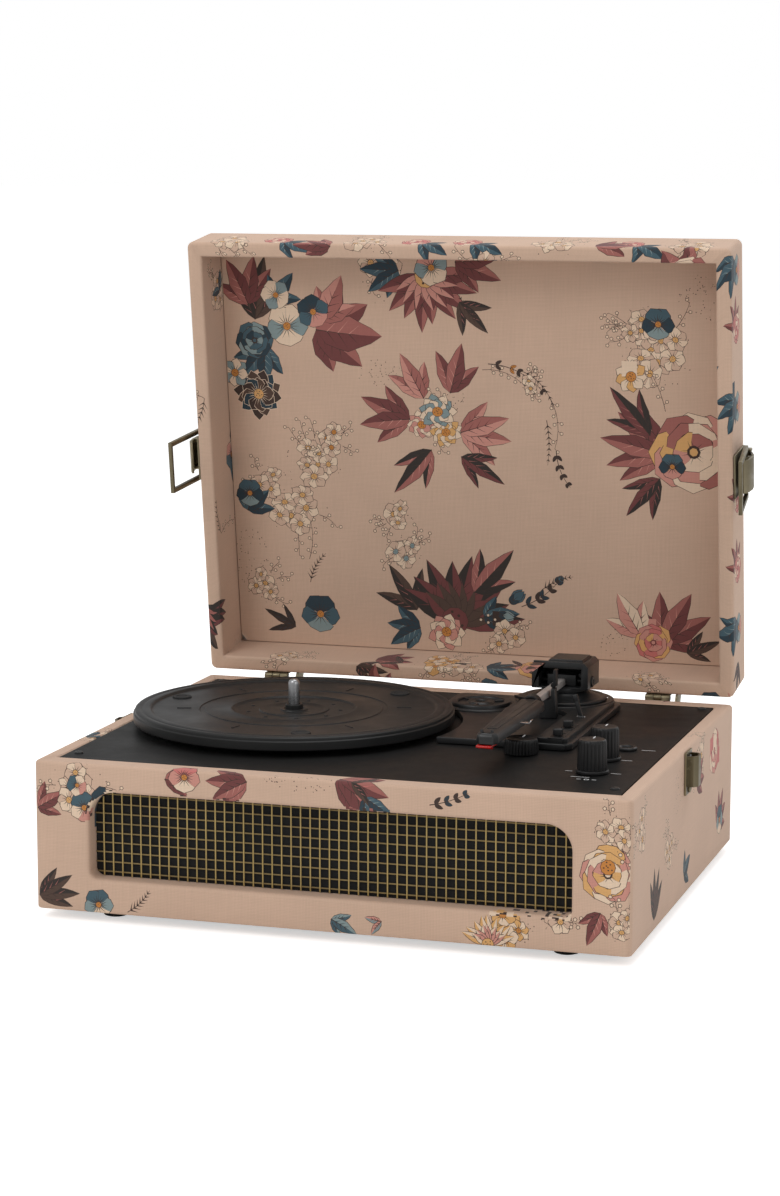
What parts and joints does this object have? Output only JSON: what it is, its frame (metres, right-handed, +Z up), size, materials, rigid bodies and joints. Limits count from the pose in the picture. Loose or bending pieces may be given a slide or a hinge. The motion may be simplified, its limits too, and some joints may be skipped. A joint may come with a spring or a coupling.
{
  "type": "suitcase record player",
  "caption": "Suitcase record player with a cloth-covered hinged lid, belt-driven platter, tone arm, control knobs, wire speaker grille and side latches.",
  "frame": {"origin": "bottom centre of the bounding box of the open player, on the surface it stands on", "axes": "+Z up, front of the player faces -Y, +X to the right seen from the front"},
  "size_m": [0.3768, 0.3272, 0.388],
  "materials": {
    "covering": "printed woven cloth in dusty peach",
    "bottom_cloth": "plain black lining cloth",
    "foot_rubber": "matt black rubber",
    "drive_rubber": "black drive rubber",
    "grille_wire": "gold-coloured wire",
    "speaker_cloth": "black open weave",
    "baffle_board": "fibre board",
    "speaker_metal": "black basket and paper cone",
    "plate_black": "satin black moulding",
    "deck_black": "semi-gloss black moulding",
    "headshell_black": "semi-gloss black moulding",
    "knob_black": "black moulding with fine texture",
    "platter_black": "semi-gloss charcoal",
    "polished_steel": "polished",
    "turned_brass": "turned",
    "motor_steel": "plated steel",
    "circuit_green": "circuit board",
    "connector_metal": "plated",
    "arm_metal": "satin silver-grey",
    "stylus_red": "red moulding",
    "antique_bronze": "darkened bronze plating, pale worn edges",
    "handle_black": "black grip moulding"
  },
  "bodies": {
    "base": {"base_walls": "covering", "bottom_panel": "bottom_cloth", "foot_front_left": "foot_rubber", "foot_front_right": "foot_rubber", "foot_rear_left": "foot_rubber", "foot_rear_right": "foot_rubber", "grille_grid": "grille_wire", "grille_cloth": "speaker_cloth", "speaker_baffle": "baffle_board", "speaker_left": "speaker_metal", "speaker_right": "speaker_metal", "top_plate": "plate_black", "arm_deck": "deck_black", "spindle_bearing": "turned_brass", "motor": "motor_steel", "drive_belt": "drive_rubber", "control_board": "circuit_green", "headphone_jack": "knob_black", "rear_panel": "plate_black", "rear_jacks": "connector_metal", "arm_base": "deck_black", "arm_rest": "deck_black", "hinge_base_left": "antique_bronze", "hinge_base_right": "antique_bronze", "hinge_pin_left": "motor_steel", "hinge_pin_right": "motor_steel", "handle_mount_left": "antique_bronze", "handle_mount_right": "antique_bronze", "catch_left": "antique_bronze", "catch_right": "antique_bronze"},
    "lid": {"lid_walls": "covering", "lid_panel": "covering", "hinge_lid_left": "antique_bronze", "hinge_lid_right": "antique_bronze", "latch_plate_left": "antique_bronze", "latch_plate_right": "antique_bronze"},
    "left_lever": {"latch_lever_left": "antique_bronze"},
    "right_lever": {"latch_lever_right": "antique_bronze"},
    "left_loop": {"latch_loop_left": "antique_bronze"},
    "right_loop": {"latch_loop_right": "antique_bronze"},
    "turntable": {"platter": "platter_black", "spindle": "polished_steel"},
    "rotor": {"motor_pulley": "turned_brass"},
    "arm_swivel": {"arm_housing": "deck_black"},
    "arm_beam": {"arm_carrier": "motor_steel", "arm_tube": "arm_metal", "headshell": "headshell_black", "cartridge": "headshell_black", "stylus": "stylus_red", "finger_lift": "polished_steel"},
    "clip": {"rest_clip": "knob_black"},
    "cue_arm": {"cue_lever": "knob_black"},
    "cue_lift": {"cue_platform": "knob_black"},
    "speed_slide": {"speed_lever": "knob_black"},
    "autostop_slide": {"autostop_lever": "knob_black"},
    "pitch_control": {"pitch_knob": "knob_black"},
    "volume_control": {"volume_knob": "knob_black"},
    "mode_control": {"mode_knob": "knob_black"},
    "handle": {"handle_grip": "handle_black"},
    "adapter": {"adapter_45": "knob_black"}
  },
  "joints": [
    {"name": "lid_hinge", "type": "hinge", "parent": "base", "child": "lid", "pos_m": [0, 0.12692, 0.0951], "axis": [1, 0, 0], "range_deg": [0, 82.6]},
    {"name": "left_lever_turn", "type": "hinge", "parent": "lid", "child": "left_lever", "pos_m": [-0.1823, 0.13472, 0.24384], "axis": [0, 0.1288, -0.9917], "range_deg": [0, 110]},
    {"name": "left_loop_turn", "type": "hinge", "parent": "left_lever", "child": "left_loop", "pos_m": [-0.1826, 0.12481, 0.24256], "axis": [0, 0.1288, -0.9917], "range_deg": [-10, 60]},
    {"name": "right_lever_turn", "type": "hinge", "parent": "lid", "child": "right_lever", "pos_m": [0.1823, 0.13472, 0.24384], "axis": [0, -0.1288, 0.9917], "range_deg": [0, 110]},
    {"name": "right_loop_turn", "type": "hinge", "parent": "right_lever", "child": "right_loop", "pos_m": [0.1826, 0.12481, 0.24256], "axis": [0, -0.1288, 0.9917], "range_deg": [-10, 60]},
    {"name": "platter_spin", "type": "hinge", "parent": "base", "child": "turntable", "pos_m": [-0.068, -0.01858, 0.1058], "axis": [0, 0, 1], "continuous": true},
    {"name": "motor_spin", "type": "hinge", "parent": "base", "child": "rotor", "pos_m": [0.002, 0.00342, 0.097], "axis": [0, 0, 1], "continuous": true},
    {"name": "arm_swing", "type": "hinge", "parent": "base", "child": "arm_swivel", "pos_m": [0.079, 0.07542, 0.113], "axis": [0, 0, -1], "range_deg": [0, 40]},
    {"name": "arm_lift", "type": "hinge", "parent": "arm_swivel", "child": "arm_beam", "pos_m": [0.079, 0.07542, 0.113], "axis": [1, 0, 0], "range_deg": [-8, 0]},
    {"name": "rest_clip_turn", "type": "hinge", "parent": "base", "child": "clip", "pos_m": [0.0846, 0.02742, 0.1189], "axis": [0, -1, 0], "range_deg": [0, 82]},
    {"name": "cue_lever_turn", "type": "hinge", "parent": "base", "child": "cue_arm", "pos_m": [0.103, 0.02242, 0.1004], "axis": [-1, 0, 0], "range_deg": [0, 45]},
    {"name": "cue_platform_rise", "type": "slide", "parent": "base", "child": "cue_lift", "axis": [0, 0, 1], "range_m": [0, 0.0043]},
    {"name": "speed_lever_slide", "type": "slide", "parent": "base", "child": "speed_slide", "axis": [0, 1, 0], "range_m": [-0.004, 0.004]},
    {"name": "autostop_lever_slide", "type": "slide", "parent": "base", "child": "autostop_slide", "axis": [0, 1, 0], "range_m": [-0.0025, 0.0025]},
    {"name": "pitch_knob_turn", "type": "hinge", "parent": "base", "child": "pitch_control", "pos_m": [0.087, -0.05958, 0.1], "axis": [0, 0, -1], "range_deg": [-140, 140]},
    {"name": "volume_knob_turn", "type": "hinge", "parent": "base", "child": "volume_control", "pos_m": [0.139, -0.09858, 0.105], "axis": [0, 0, -1], "range_deg": [-20, 280]},
    {"name": "mode_knob_turn", "type": "hinge", "parent": "base", "child": "mode_control", "pos_m": [0.1375, -0.06158, 0.105], "axis": [0, 0, -1], "range_deg": [-30, 30]},
    {"name": "handle_swing", "type": "hinge", "parent": "base", "child": "handle", "pos_m": [0, 0.13122, 0.072], "axis": [1, 0, 0], "range_deg": [0, 100]},
    {"name": "adapter_lift", "type": "slide", "parent": "base", "child": "adapter", "axis": [0, 0, -1], "range_m": [-0.06, 0]}
  ],
  "couplings": [
    {"joint": "motor_spin", "follows": "platter_spin", "ratio": 9},
    {"joint": "cue_lever_turn", "follows": "cue_platform_rise", "rad_per_m": 180}
  ]
}
